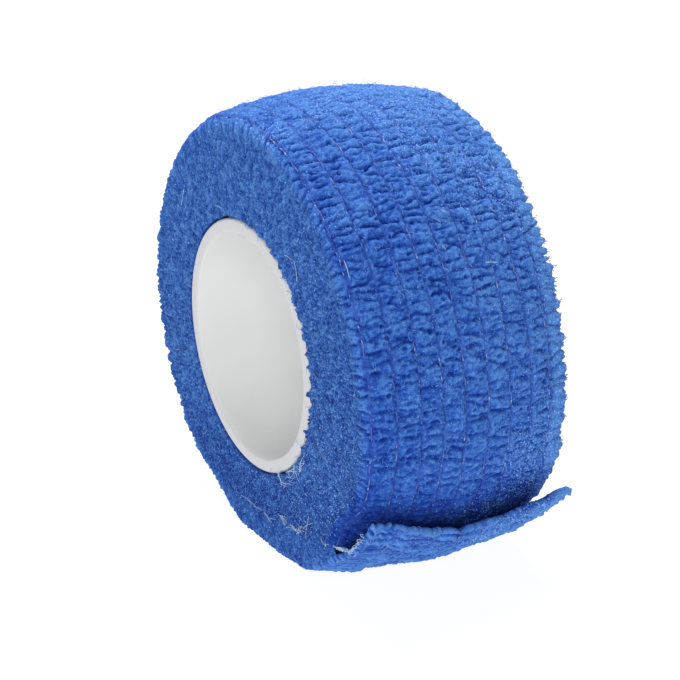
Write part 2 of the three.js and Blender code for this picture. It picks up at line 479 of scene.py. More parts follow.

# %% [markdown]
# ## Blue crepe
# The colour is one blue, yet creases are painted darker and purer and pleats paler: painted
# shade and painted light. The cloth close to a thread takes a lilac tint from it. A ramp driven
# by the tone attribute does most of that, and fine noise breaks it up into fibre. Pale specks are
# painted glints of single fibres that catch the light. Sheen gives the soft pale edge of fluffy
# cloth that turns away from the eye.

# %% Node helpers
def put(tree, socket, value):
    """Gives a socket a number or a colour, or links it to another node."""
    if isinstance(value, bpy.types.NodeSocket):
        tree.links.new(value, socket)
    else:
        socket.default_value = (*value, 1) if isinstance(value, tuple) else value


def add_noise(tree, size_mm, detail, stretch=(1, 1, 1)):
    """Noise in the part's own coordinates, with lumps of about the given size."""
    places = tree.nodes.new("ShaderNodeTexCoord")
    scale = tree.nodes.new("ShaderNodeMapping")
    scale.inputs["Scale"].default_value = stretch
    noise = tree.nodes.new("ShaderNodeTexNoise")
    noise.inputs["Scale"].default_value = 1 / (size_mm * MM)
    noise.inputs["Detail"].default_value = detail
    tree.links.new(places.outputs["Object"], scale.inputs["Vector"])
    tree.links.new(scale.outputs["Vector"], noise.inputs["Vector"])
    return noise.outputs["Fac"]


def add_math(tree, operation, *values):
    node = tree.nodes.new("ShaderNodeMath")
    node.operation = operation
    for socket, value in zip(node.inputs, values):
        put(tree, socket, value)
    return node.outputs["Value"]


print("noise scale for lumps of 1 mm:", round(1 / MM))


# %% Colour and bump helpers
def add_ramp(tree, factor, stops):
    """A colour ramp; stops are (position, red, green, blue)."""
    node = tree.nodes.new("ShaderNodeValToRGB")
    elements = node.color_ramp.elements
    while len(elements) < len(stops):
        elements.new(0.5)
    for element, (position, *colour) in zip(elements, stops):
        element.position = position
        element.color = (*colour, 1)
    tree.links.new(factor, node.inputs["Fac"])
    return node.outputs["Color"]


def add_mix(tree, factor, first, second):
    node = tree.nodes.new("ShaderNodeMix")
    node.data_type = "RGBA"
    tree.links.new(factor, node.inputs["Factor"])
    put(tree, node.inputs["A"], first)
    put(tree, node.inputs["B"], second)
    return node.outputs["Result"]


def add_bump(tree, shader, height, depth_mm, strength):
    node = tree.nodes.new("ShaderNodeBump")
    node.inputs["Distance"].default_value = depth_mm * MM
    node.inputs["Strength"].default_value = strength
    tree.links.new(height, node.inputs["Height"])
    tree.links.new(node.outputs["Normal"], shader.inputs["Normal"])


def read_attribute(tree, name):
    node = tree.nodes.new("ShaderNodeAttribute")
    node.attribute_name = name
    return node.outputs["Fac"]


print("materials so far:", len(bpy.data.materials))

# %% Blue crepe material
# The ramp runs from a deep blue in creases to a pale blue on pleats: painted shade and painted
# light.
DEEP_BLUE = (0.005, 0.029, 0.27)
MID_BLUE = (0.024, 0.098, 0.445)
PALE_BLUE = (0.087, 0.245, 0.65)
LILAC = (0.05, 0.09, 0.4)
GLINT_BLUE = (0.27, 0.5, 0.93)
BLOTCH_MM, TINT_MM, SPECK_MM, NAP_MM = 3.2, 0.9, 0.19, 0.15
BLOTCH_DEPTH, NAP_DEPTH = 0.4, 0.1
SPECK_GAIN, SPECK_LIMIT, SPECK_STRENGTH = 0.13, 0.73, 0.7
SHEEN, SHEEN_ROUGHNESS, SHEEN_TINT = 0.06, 0.5, (0.4, 0.65, 1, 1)


def make_cloth(name, stops, fibre_mm, fibre_depth, stretch=(1, 1, 1)):
    """Cloth whose colour follows its relief as painted shade and light, broken up into fibre, with
    pale specks as painted glints.
    """
    material, tree, shader = new_material(name, 0.85, 0.08)
    tone_and_shading = read_attribute(tree, "tone_and_shading")
    fibre = add_noise(tree, fibre_mm, 3, stretch)
    fibre = add_math(tree, "MULTIPLY_ADD", fibre, fibre_depth, -0.5 * fibre_depth)
    blotch = add_noise(tree, BLOTCH_MM, 2)
    blotch = add_math(tree, "MULTIPLY_ADD", blotch, BLOTCH_DEPTH, -0.5 * BLOTCH_DEPTH)
    tone = add_math(tree, "ADD", add_math(tree, "ADD", fibre, tone_and_shading), blotch)
    colour = add_ramp(tree, tone, stops)
    near = read_attribute(tree, "near_thread")
    tint = add_math(tree, "MULTIPLY", near, add_noise(tree, TINT_MM, 2))
    colour = add_mix(tree, tint, colour, LILAC)
    # Painted glints: pale specks, most where the sparkle attribute is high.
    sparkle, speck = read_attribute(tree, "sparkle"), add_noise(tree, SPECK_MM, 1)
    speck = add_math(tree, "MULTIPLY_ADD", sparkle, SPECK_GAIN, speck)
    speck = add_math(tree, "GREATER_THAN", speck, SPECK_LIMIT)
    speck = add_math(tree, "MULTIPLY", speck, SPECK_STRENGTH)
    colour = add_mix(tree, speck, colour, GLINT_BLUE)
    tree.links.new(colour, shader.inputs["Base Color"])
    add_bump(tree, shader, add_noise(tree, NAP_MM, 3), NAP_DEPTH, 0.7)
    shader.inputs["Sheen Weight"].default_value = SHEEN
    shader.inputs["Sheen Roughness"].default_value = SHEEN_ROUGHNESS
    shader.inputs["Sheen Tint"].default_value = SHEEN_TINT
    return material


crepe_stops = [(0.0, *DEEP_BLUE), (0.5, *MID_BLUE), (1.0, *PALE_BLUE)]
blue_crepe = make_cloth("blue_crepe", crepe_stops, 0.18, 1.0)
print("material:", blue_crepe.name)

# %% [markdown]
# ## The outer face of the roll
# This is the outermost lap. The grid follows the crown of the roll and bends over both rounded
# shoulders; its points lie closer together beside the threads, where the cloth is pinched. It
# is then pushed out or in along its own normals by the pleats. Under the loose end it lies on
# the strip, so there it keeps off the floor by the strip's thickness.

# %% Stations across the strip
SHOULDER_STEPS = 6
TURNS = 1200
LINE_PITCH = 0.165
ROW_STEP = MEAN_RADIUS * math.radians(360) / TURNS


def stations_across():
    """x of each line of the grid, closer together at the threads, with rounded shoulders."""
    inner = HALF_WIDTH - SHOULDER
    marks = [-inner, *[thread for thread in THREADS if abs(thread) < inner], inner]
    lines = [np.array([-inner])]
    for left, right in zip(marks, marks[1:]):
        cells = round((right - left) / LINE_PITCH)
        share = np.arange(1, cells + 1) / cells
        share = share - 0.07 * np.sin(2 * np.pi * share)
        lines.append(left + (right - left) * share)
    arc = np.radians(np.arange(1, SHOULDER_STEPS + 1) * 90 / SHOULDER_STEPS)
    rounded = inner + SHOULDER * np.sin(arc)
    return np.concatenate([-rounded[::-1], *lines, rounded])


stations = stations_across()
LINE_STEP = TAPE_WIDTH / len(stations)
turns = np.arange(TURNS) * 360 / TURNS
print("lines across:", len(stations), "rows around:", len(turns))


# %% Where the cloth lies
def floor_lift(x):
    return SHOULDER_LIFT * shoulder_drop(x) / SHOULDER


def lying_height(turn):
    """Top of the loose end where it lies under the roll: it thins out to the back."""
    back = (turn + 180) % 360 - 180
    covered = (back > -15) & (back < 80)
    return np.where(covered, STRIP_THICKNESS * smooth_step(back, -14, 3) + 0.02, 0)


def hollow(turn, x):
    """At its -X edge the lap draws back from the lifted loose end."""
    return 1.3 * swell(turn, 54, 8) * smooth_step(-x, 8, 12)


print("strip under the roll at turn 10, mm:", round(float(lying_height(10.0)), 2))


# %% Tone of the cloth, with painted shade in the creases
RIDGE_MM, RIDGE_GAIN, HEIGHT_GAIN = 0.9, 1.5, 0.5
BLOTCHES = [(0.09, 0.4), (0.04, 2.5)]
RIGHT_PALE, LEFT_PALE = 0.5, 0.14
TINT_SHARE, TINT_WIDTH = 0.6, 0.26
LIVELY_SHARE, LIVELY_MM = 0.3, 9


def relief_values(height, row_step, seed):
    """Tone with painted shade, 0 in a crease to 1 on a ridge, nearness to a thread, share of
    painted glints.
    """
    steps = (row_step, LINE_STEP)
    # Painted shade and painted light: creases darker, ridges and high cloth paler. The blotches are
    # random tone.
    ridge = RIDGE_GAIN * (height - soften(height, steps, RIDGE_MM))
    pale_edge = RIGHT_PALE * smooth_step(stations, HALF_WIDTH - 2.5, HALF_WIDTH - 1.2)
    pale_edge = pale_edge + LEFT_PALE * smooth_step(-stations, 11.9, 12.3)
    blotch = 0
    for k, (share, size) in enumerate(BLOTCHES):
        blotch = blotch + share * grain(height.shape, steps, size, seed + k)
    tone_and_shading = np.clip(0.5 + ridge + HEIGHT_GAIN * (height + 0.1) + blotch + pale_edge, 0, 1)
    nearest = np.min([np.abs(stations - thread) for thread in THREADS], axis=0)
    near = TINT_SHARE * np.exp(-((nearest / TINT_WIDTH) ** 2))
    near = np.broadcast_to(near * (1 - smooth_step(-stations, 12, 12.25)), height.shape)
    # Painted glints: their share, in random patches and more towards the right.
    lively = LIVELY_SHARE * grain(height.shape, steps, LIVELY_MM, seed + 2)
    sparkle = np.clip(lively + smooth_step(stations, -3, 8), 0, 1)
    return {"tone_and_shading": tone_and_shading, "near_thread": near, "sparkle": sparkle}


print("grid steps, mm:", round(ROW_STEP, 3), round(LINE_STEP, 3))

# %% Painted light and shade of the outer face
QUIET, BUSY, BUSY_AT = 0.35, 0.65, [(163, 45), (66, 16)]
TOP_GLINTS, TOP_GLINTS_AT, EDGE_GLINTS = 0.6, (178, 24), 0.8
UNDER_SHADE, UNDER_TO, UNDER_FROM = 0.46, 60, 73
TOP_LIGHT, TOP_LIGHT_AT = 0.2, (176, 24)
RIGHT_PAINTED_LIGHT, LEFT_PAINTED_SHADE = 0.08, 0.14
BROW_SHADE, BROW_AT = 0.05, (76, 14)


def shade_outer(values, turn, x):
    """Painted shadow under the loose end, painted light on top, and more painted glints at both."""
    # Painted glints: more specks at two busy places, on top and at the right border.
    busy = QUIET + BUSY * np.clip(sum(swell(turn, *spot) for spot in BUSY_AT), 0, 1)
    at_edge = smooth_step(x, HALF_WIDTH - 2.6, HALF_WIDTH - 1.4)
    painted_glints = TOP_GLINTS * swell(turn, *TOP_GLINTS_AT) + EDGE_GLINTS * at_edge
    values["sparkle"] = np.clip(values["sparkle"] * busy + painted_glints, 0, 1)
    # Painted shadow under the loose end, painted light on top, painted light on the right half and
    # painted shade on the left half, and a band of painted shade just above the loose end's cut.
    shaded = UNDER_SHADE * (1 - smooth_step(turn % 360, UNDER_TO, UNDER_FROM))
    shaded = shaded - TOP_LIGHT * swell(turn, *TOP_LIGHT_AT)
    shaded = shaded - np.where(x > 0, RIGHT_PAINTED_LIGHT, LEFT_PAINTED_SHADE) * x / HALF_WIDTH
    shaded = shaded + BROW_SHADE * swell(turn, *BROW_AT)
    values["tone_and_shading"] = np.clip(values["tone_and_shading"] - shaded, 0, 1)


print("tone taken away under the loose end:", UNDER_SHADE)


# %% Teeth of the right border
TEETH_FROM, TEETH_BLUNTNESS = 11.2, 0.8
TEETH_REACH, TEETH_MORE, TEETH_AT = 0.24, 0.32, (145, 32)
UNEVEN, UNEVEN_MM = 0.3, 1.5
BORDER_TUFT, BORDER_TUFT_MM = 0.07, 0.5


def along_border(size, seed):
    """Random lumps of one size along the border, one value for each row."""
    return grain((TURNS, 8), (ROW_STEP, ROW_STEP), size, seed)[:, 0]


def border_teeth(x):
    """Sharp teeth of the right border, which start between the shared creases."""
    along = np.radians(turns) * MEAN_RADIUS
    away = np.min(np.abs(along[:, None] - shared_creases[None, :]), axis=1)
    teeth = np.clip(2 * away / PLEAT_PITCH, 0, 1) ** TEETH_BLUNTNESS - 0.5
    uneven = 1 + UNEVEN * along_border(UNEVEN_MM, 53)
    tufts = BORDER_TUFT * along_border(BORDER_TUFT_MM, 54)
    reach = TEETH_REACH + TEETH_MORE * swell(turns, *TEETH_AT)
    return (reach * teeth * uneven + tufts)[:, None] * smooth_step(x, TEETH_FROM, HALF_WIDTH)


print("longest tooth, mm:", round(float(border_teeth(np.array([HALF_WIDTH])).max()), 2))


# %% Points of the outer face
def make_outer_face():
    """The whole grid at once: its points, and the values of each."""
    turn, x = np.meshgrid(turns, stations, indexing="ij")
    lowest = np.maximum(floor_lift(x), lying_height(turn))
    plain = place(turn, roll_radius(turn, x) - hollow(turn, x), x, lowest)
    height = pleat_relief(np.radians(turns) * MEAN_RADIUS, stations, 5)
    fade = 1 - 0.7 * smooth_step(lowest + 0.6 - plain[..., 2], 0, 0.6)
    points = plain + grid_normals(plain, closed_rows=True) * (height * fade)[..., None]
    points[..., 0] += border_teeth(x)
    points[..., 2] = np.maximum(points[..., 2], lowest * 0.98)
    values = relief_values(height, ROW_STEP, 51)
    shade_outer(values, turn, x)
    return points, values


outer_points, outer_values = make_outer_face()
outer_low, outer_high = outer_points.reshape(-1, 3).min(0), outer_points.reshape(-1, 3).max(0)
print("outer face, mm:", outer_low.round(1), outer_high.round(1))


# %% Two bands of the outer face
def outer_band(name, first, count):
    """A band of rows of the outer face, which start at row first and may run past the last."""
    rows = np.arange(first, first + count + 1) % TURNS
    values = {key: numbers[rows] for key, numbers in outer_values.items()}
    faces = grid_quads(len(rows), len(stations))
    piece = cloth_piece(name, outer_points[rows], faces, values, blue_crepe)
    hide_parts("bandage_strip")


outer_band("outer_lap", TURNS // 12, TURNS // 2)
outer_band("outer_lap_rear", TURNS // 12 + TURNS // 2, TURNS // 2)

# %% [markdown]
# ## The sides of the roll
# Each side is the slit edges of all the laps, pressed together. Nothing there is pleated: one
# sees fluff, with the laps as faint rings. A ring-shaped grid joins the outer face's own border
# to the bore, so no gap opens at the shoulder, and a short wall runs on into the bore. The
# relief is read from a flat patch of grain, so its lumps keep one size at any radius.

# %% Blue fluff material
# The ramp runs from a dark blue in hollows to a pale blue on lumps: painted shade and painted
# light.
fluff_stops = [(0.0, 0.008, 0.036, 0.24), (0.5, 0.028, 0.108, 0.41), (1.0, 0.085, 0.23, 0.57)]
blue_fluff = make_cloth("blue_fluff", fluff_stops, 0.17, 1.25, stretch=(1, 0.65, 1))
print("material:", blue_fluff.name)

# %% Relief of the fluff
PATCH_STEP = 0.1
PATCH_SIDE = 560
LAP_PITCH, LAP_WANDER = 0.45, 0.35
FINE_FLUFF, FINE_FLUFF_MM = 0.1, 0.38
BROAD_FLUFF, BROAD_FLUFF_MM = 0.05, 1.3
LAP_RING, FAINT, CLEARER, CLEARER_AT = 0.03, 0.35, 0.65, (60, 70)
TUFT_LIMIT, TUFTS_AT = 0.75, (85, 50)


def read_patch(patch, y, z):
    """Value of a square patch of grain at y, z, blended between its points."""
    u = (y / PATCH_STEP) % PATCH_SIDE
    v = (z / PATCH_STEP) % PATCH_SIDE
    i, j = u.astype(int) % PATCH_SIDE, v.astype(int) % PATCH_SIDE
    p, q = u - np.floor(u), v - np.floor(v)
    k, m = (i + 1) % PATCH_SIDE, (j + 1) % PATCH_SIDE
    low = patch[i, j] * (1 - p) + patch[k, j] * p
    high = patch[i, m] * (1 - p) + patch[k, m] * p
    return low * (1 - q) + high * q


def side_relief(y, z, turn, seed):
    """Height of the fluff over the flat side, with faint rings where the laps lie."""
    shape, steps = (PATCH_SIDE, PATCH_SIDE), (PATCH_STEP, PATCH_STEP)
    fine = read_patch(grain(shape, steps, FINE_FLUFF_MM, seed), y, z)
    broad = read_patch(grain(shape, steps, BROAD_FLUFF_MM, seed + 1), y, z)
    radius = np.hypot(y - CENTRE_Y, z - CENTRE_Z)
    lap = radius / LAP_PITCH - turn / 360 + LAP_WANDER * broad
    rings = np.cos(2 * np.pi * lap) * (FAINT + CLEARER * swell(turn, *CLEARER_AT))
    return FINE_FLUFF * fine + BROAD_FLUFF * broad + LAP_RING * rings


def fluff_teeth(turn, seed):
    """How far tufts of fluff reach in over the rim of the core, most at the front."""
    rng = np.random.default_rng(seed)
    tufts = np.interp(turn, np.linspace(0, 360, 150), rng.normal(0, 1, 150), period=360)
    return np.clip(0.12 + 0.4 * tufts, 0, TUFT_LIMIT) * (0.25 + 0.75 * swell(turn, *TUFTS_AT))


print("longest tuft over the rim, mm:", round(float(fluff_teeth(turns, 33).max()), 2))

# %% Both sides
SIDE_RINGS = 44
WALL_RINGS = 3
SIDE_TONE, SIDE_GAIN = 0.48, 2.6
LOW_SHADE, FRONT_SHADE, FRONT_SHADE_AT = 0.3, 0.13, (72, 35)
SIDE_SPECKS, MORE_SPECKS, MORE_SPECKS_AT = 0.3, 0.45, (52, 48)


def bore_wall(sign):
    """A short wall from the side into the bore, round the tube."""
    angle = np.radians(turns)[:, None]
    depth = np.linspace(0.6, HALF_WIDTH, WALL_RINGS)[None, :]
    y, z = -BORE * np.sin(angle), CORE_Z - BORE * np.cos(angle)
    x = sign * (HALF_WIDTH - depth) + 0 * y
    return np.stack([x, y + 0 * depth, z + 0 * depth], axis=-1)


def make_side(name, sign, border, border_relief, seed):
    share = np.linspace(0, 1, SIDE_RINGS + 1)[None, :]
    turn = turns[:, None]
    teeth = fluff_teeth(turns, seed + 2)[:, None]
    rim_y = -(BORE - teeth) * np.sin(np.radians(turn))
    rim_z = CORE_Z - (BORE - teeth) * np.cos(np.radians(turn))
    y = border[:, None, 1] * (1 - share) + rim_y * share
    z = border[:, None, 2] * (1 - share) + rim_z * share
    height = side_relief(y, z, turn + 0 * y, seed)
    settle = smooth_step(share, 0, 0.16)
    proud = height * smooth_step(share, 0, 0.05) + 0.15 * teeth * smooth_step(share, 0.9, 1)
    x = border[:, None, 0] * (1 - settle) + sign * (HALF_WIDTH * settle + proud)
    wall = bore_wall(sign)
    points = np.concatenate([np.stack([x, y, z], axis=-1), wall], axis=1)
    faces = grid_quads(TURNS, points.shape[1], closed_rows=True)
    faces = faces[:, ::-1] if sign > 0 else faces
    # Painted shade: the side is darker low down and at the front, and its lumps are paler than its
    # hollows, as painted light.
    low = LOW_SHADE * smooth_step(14 - z, 0, 8) + FRONT_SHADE * swell(turn, *FRONT_SHADE_AT)
    tone_and_shading = np.clip(SIDE_TONE - low + height * SIDE_GAIN, 0, 1) * settle
    tone_and_shading = tone_and_shading + border_relief * (1 - settle)
    tone_and_shading = np.concatenate([tone_and_shading, np.zeros(wall.shape[:2])], axis=1)
    # Painted glints: specks all over the side, more of them low at the front.
    values = {
        "tone_and_shading": tone_and_shading,
        "near_thread": np.zeros_like(tone_and_shading),
        "sparkle": SIDE_SPECKS + MORE_SPECKS * swell(turn, *MORE_SPECKS_AT) + 0 * tone_and_shading,
    }
    piece = cloth_piece(name, points, faces, values, blue_fluff)
    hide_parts("bandage_strip")
    return points


tone = outer_values["tone_and_shading"]
left_points = make_side("left_side", -1, outer_points[:, 0], tone[:, :1], 31)
right_points = make_side("right_side", 1, outer_points[:, -1], tone[:, -1:], 41)

# %% [markdown]
# ## The loose end
# The last stretch of the strip comes out flat from under the roll, leaves it a little sooner at
# the right, and curls up to a ragged cut. Simulated cloth would fall limp, but this strip is
# stiff with its own stickiness. So a short table says, for each line across, where it leaves
# the roll, where it is cut and how far it stands off; the rows between are blended. It is a
# real sheet, with two faces and soft slit edges.

# %% Form of the loose end
END_START = -14
END_NAMES = ("x", "leaves", "cut", "root", "edge", "curl")
LOOSE_END = np.array(
    [
        (-12.5, 43, 66.5, 0.05, 2.1, 0.75),
        (-9.5, 40, 65, 0.05, 1.95, 1.2),
        (-6.5, 37, 63, 0.1, 1.85, 1.5),
        (-4, 35, 61.7, 0.15, 1.95, 1.7),
        (-1.5, 33, 60.8, 0.3, 2.5, 1.9),
        (1, 30, 61.1, 0.5, 2.3, 2.1),
        (4, 29, 61.8, 0.6, 2.8, 2.3),
        (7, 28, 62.8, 0.75, 3, 2.5),
        (9.5, 27, 62.8, 1, 3.3, 2.7),
        (12.5, 25.5, 63.9, 1.3, 3.7, 3),
    ]
)


def end_values(x):
    """The table's row at any x, as a dictionary."""
    columns = zip(END_NAMES, LOOSE_END.T)
    return {name: np.interp(x, LOOSE_END[:, 0], column) for name, column in columns}


def inner_radius(turn, x):
    """Inner face of the loose end: the roll, plus a gap that grows towards the cut."""
    end = end_values(x)
    pressed = np.degrees(np.arccos((CENTRE_Z - STRIP_THICKNESS) / covered_radius(end["leaves"], x)))
    parting = np.maximum(end["leaves"], pressed + 0.5)
    past = np.clip(turn - parting, 0, None)
    along = np.clip(past / (end["cut"] - parting), 0, 1)
    root = end["root"] * (1 - np.exp(-past / 1.2))
    return covered_radius(turn, x) + root + (end["edge"] - end["root"]) * along ** end["curl"]


print("cut, in degrees of turn:", LOOSE_END[:, 2].min(), "to", LOOSE_END[:, 2].max())

# %% Cut and edges
EDGE_SOFTNESS = 0.45
NOTCH_AT, NOTCH, NOTCH_WIDTH = -1.5, 1.3, 0.35


def ragged_cut(x):
    """The cut is not straight: fibres and pleats make it uneven, in degrees of turn."""
    wobble = np.random.default_rng(61).normal(0, 1, 90)
    coarse = np.interp(x, np.linspace(-13, 13, 90), wobble)
    notch = NOTCH * np.exp(-(((x - NOTCH_AT) / NOTCH_WIDTH) ** 2))
    return end_values(x)["cut"] + 0.35 * coarse - notch


def round_off(distance):
    """1 away from an edge, falling to 0 at it as a quarter circle does."""
    inside = np.clip(1 - distance / EDGE_SOFTNESS, 0, 1)
    return np.sqrt(1 - inside**2)


print("cut at the notch, degrees:", round(float(ragged_cut(NOTCH_AT)), 1))

# %% Plain form of the sheet
END_ROWS = 190
END_LENGTH = 37.5
END_STEP = END_LENGTH / END_ROWS
SHEET_THICKNESS = 0.85


def sheet_form():
    """x, turn, way to the cut, and both plain faces of the loose end."""
    share = np.linspace(0, 1, END_ROWS)[:, None]
    x = np.broadcast_to(stations[None, :], (END_ROWS, len(stations)))
    flat_x = np.sign(x) * np.minimum(np.abs(x), HALF_WIDTH)
    turn = END_START + (ragged_cut(flat_x) - END_START) * share
    outer = inner_radius(turn, flat_x) + STRIP_THICKNESS
    front = place(turn, outer, flat_x, floor_lift(flat_x))
    rear = place(turn, outer - SHEET_THICKNESS, flat_x, lying_height(turn) - 0.02)
    from_cut = (1 - share) * np.radians(ragged_cut(flat_x) - END_START) * MEAN_RADIUS
    return flat_x, turn, from_cut, front, rear


print("step along the loose end, mm:", round(END_STEP, 3))

# %% Pleats and folds of the sheet
SHEET_PLEATS, LEFT_CALM = 0.85, 0.85
TIP_CRUMPLE, TIP_CRUMPLE_MM, TIP_LENGTH = 0.3, 1.3, 4
FOLD, FOLD_MM, FOLD_STRETCH, TIP_CALM = 0.14, 0.75, 0.14, 0.8


def sheet_height(flat_x, turn, from_cut):
    """Height of the loose end's pleats and small folds, and the folds alone."""
    along = (np.radians(turn[:, len(stations) // 2]) + 2 * np.pi) * MEAN_RADIUS
    calm = 1 - LEFT_CALM * smooth_step(-stations, 9.6, 11.5)
    height = SHEET_PLEATS * pleat_relief(along, stations, 7) * calm
    at_tip = smooth_step(flat_x, 8, 11.5) * np.exp(-from_cut / TIP_LENGTH)
    crumple = TIP_CRUMPLE * grain(height.shape, (END_STEP, LINE_STEP), TIP_CRUMPLE_MM, 63)
    folds = grain(height.shape, (END_STEP, FOLD_STRETCH * LINE_STEP), FOLD_MM, 64)
    folds = folds * (1 - TIP_CALM * at_tip)
    return height + crumple * at_tip + FOLD * folds, folds


print("height of a fold, mm:", FOLD)

# %% Both faces of the sheet
SETTLED, SETTLES_BELOW = 0.8, 0.7
FOLD_SHADING, CUT_TONE, CUT_BAND = 0.12, 0.3, 0.45


def sheet_points():
    """Front and rear face of the loose end, one after the other, and the values of each."""
    flat_x, turn, from_cut, front, rear = sheet_form()
    height, folds = sheet_height(flat_x, turn, from_cut)
    settled = 1 - SETTLED * smooth_step(SETTLES_BELOW - front[..., 2], 0, SETTLES_BELOW)
    middle = (front + rear) / 2
    thick = (round_off(HALF_WIDTH - np.abs(flat_x)) * round_off(from_cut))[..., None]
    lift = (height * settled)[..., None] * grid_normals(middle)
    front = middle + (front - middle) * thick + lift * (0.45 + 0.4 * thick)
    rear = middle + (rear - middle) * thick + lift * (0.45 - 0.1 * thick)
    front[..., 2] = np.maximum(front[..., 2], 0.01)
    rear[..., 2] = np.maximum(rear[..., 2], 0.012)
    values = relief_values(height, END_STEP, 55)
    # Painted light on the raised folds and painted shade in their hollows; near the cut the cloth
    # is paler.
    paler = FOLD_SHADING * folds + CUT_TONE * np.exp(-from_cut / CUT_BAND)
    values["tone_and_shading"] = np.clip(values["tone_and_shading"] + paler, 0, 1)
    values = {key: np.concatenate([v.ravel(), v.ravel()]) for key, v in values.items()}
    return np.concatenate([front.reshape(-1, 3), rear.reshape(-1, 3)]), values


end_points, end_tones = sheet_points()
print("loose end, highest point, mm:", round(float(end_points[:, 2].max()), 1))


# %% One closed sheet
def weld_rim(faces, count):
    """Makes the rear face share the front face's points at both sides and at the cut."""
    index = np.arange(2 * count)
    row, column = np.divmod(np.arange(count), len(stations))
    rim = (column == 0) | (column == len(stations) - 1) | (row == END_ROWS - 1)
    index[count:][rim] = np.arange(count)[rim]
    return index[faces]


def sheet_faces():
    """Front face, rear face, and a cap where the sheet ends under the roll."""
    count = END_ROWS * len(stations)
    faces = grid_quads(END_ROWS, len(stations))
    first = np.arange(len(stations) - 1)
    cap = np.stack([first, first + 1, first + 1 + count, first + count], axis=1)
    cap = weld_rim(cap, count)
    cap = cap[[len(set(face)) == 4 for face in cap.tolist()]]
    return np.concatenate([faces, weld_rim(faces[:, ::-1] + count, count), cap])


end_faces = sheet_faces()
used, packed = np.unique(end_faces, return_inverse=True)
end_faces = packed.reshape(end_faces.shape)
end_tones = {key: numbers[used] for key, numbers in end_tones.items()}
loose_end = cloth_piece(
    "loose_end", end_points[used], end_faces, end_tones, blue_crepe
)
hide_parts("bandage_strip")

# %% [markdown]
# ## The relaxed last laps
# At the left edge the last laps have crept out a little, and they keep the loose end stuck to
# the roll until it lifts off. They show as a smoother band, low on the side, that runs on into
# the loose end without a gap. A shallow swelling grid makes it: its inner border sinks into the
# side, and its outer border ends in the slit edge of the loose end.

# %% The band of relaxed laps
BAND_FROM, BAND_TO = -34, 45
BAND_ROWS, BAND_LINES = 300, 26
BAND_TURN = [-34, -16.5, 0.6, 17.8, 37.1, 45]
BAND_INNER = [24.3, 21.7, 21, 20.3, 22.6, 24.8]


def make_band():
    turn = np.linspace(BAND_FROM, BAND_TO, BAND_ROWS)[:, None]
    share = np.linspace(0, 1, BAND_LINES)[None, :]
    inner = np.interp(turn, BAND_TURN, BAND_INNER)
    edge = -HALF_WIDTH
    lap = covered_radius(turn, edge) - 0.15
    sheet = inner_radius(turn, edge) + STRIP_THICKNESS * 0.62
    outer = lap + (sheet - lap) * smooth_step(turn, END_START, END_START + 12)
    flat = place(turn, inner + (outer - inner) * share, edge, 0.12)
    taper = smooth_step(turn, BAND_FROM, BAND_FROM + 20)
    taper = taper * smooth_step(-turn, -BAND_TO, -BAND_TO + 5)
    crest = np.clip(1 - (2 * share - 1) ** 4, 0, 1) * (0.4 + 0.6 * taper)
    height = side_relief(flat[..., 1], flat[..., 2], turn + 0 * share, 81)
    flat[..., 0] = -HALF_WIDTH + 0.35 - (0.62 + 0.75 * height) * crest - 0.06 * taper
    # Painted shade and painted light: the fluff is darker in its hollows and paler on its lumps.
    tone_and_shading = np.clip(0.4 + 2.2 * height, 0, 1)
    values = {"tone_and_shading": tone_and_shading, "near_thread": 0 * tone_and_shading, "sparkle": 0 * tone_and_shading + 0.3}
    faces = grid_quads(BAND_ROWS, BAND_LINES)[:, ::-1]
    piece = cloth_piece("relaxed_laps", flat, faces, values, blue_fluff)
    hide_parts("bandage_strip")


make_band()

# %% [markdown]
# ## Thin round things
# Threads and fibres are all tubes along a path. Making a thousand curve objects would be slow,
# so one function takes every path of a kind at once, sets a few points around each, and closes
# both tips. The result is one mesh.

# %% Tube helper
def tubes(name, paths, radius, sides, material):
    """One closed tube along each path. paths is an array: path, point along it, x y z in mm."""
    count, length, _ = paths.shape
    radius = np.broadcast_to(np.asarray(radius, float).reshape(-1, 1), (count, length))
    direction = np.gradient(paths, axis=1)
    direction /= np.maximum(np.linalg.norm(direction, axis=-1, keepdims=True), 1e-9)
    helper = np.where(np.abs(direction[..., :1]) > 0.8, [0.0, 1.0, 0.0], [1.0, 0.0, 0.0])
    first = np.cross(direction, helper)
    first /= np.linalg.norm(first, axis=-1, keepdims=True)
    second = np.cross(direction, first)
    angle = (2 * np.pi * np.arange(sides) / sides)[None, None, :, None]
    ring = first[:, :, None] * np.cos(angle) + second[:, :, None] * np.sin(angle)
    points = paths[:, :, None] + ring * radius[:, :, None, None]
    across = np.arange(sides)
    a, b = np.meshgrid(np.arange(length - 1), across, indexing="ij")
    c = (b + 1) % sides
    body = np.stack([a * sides + b, a * sides + c, (a + 1) * sides + c, (a + 1) * sides + b], -1)
    starts = np.arange(count)[:, None, None] * length * sides
    body = (body.reshape(1, -1, 4) + starts).reshape(-1, 4)
    tips = np.stack([across[::-1], across + (length - 1) * sides])
    tips = (tips[None] + starts).reshape(-1, sides)
    mesh = bpy.data.meshes.new(name)
    mesh.from_pydata((points.reshape(-1, 3) * MM).tolist(), [], body.tolist() + tips.tolist())
    finish_piece(name, mesh, material)


# %% [markdown]
# ## Stitch threads
# Nine elastic threads run the length of the strip. They are nearly white with a lilac cast and
# lie tight in the pinched lines, so pleats swallow them here and there and only short dashes
# show. A tight thread keeps to the plain round form, and dips a little at random, while the
# cloth puckers around it. Where a pleat rises over it, the thread is gone.

# %% Thread material
LILAC_STOPS = [(0.35, 0.05, 0.11, 0.42), (0.55, 0.12, 0.2, 0.55), (0.66, 0.46, 0.54, 0.82)]


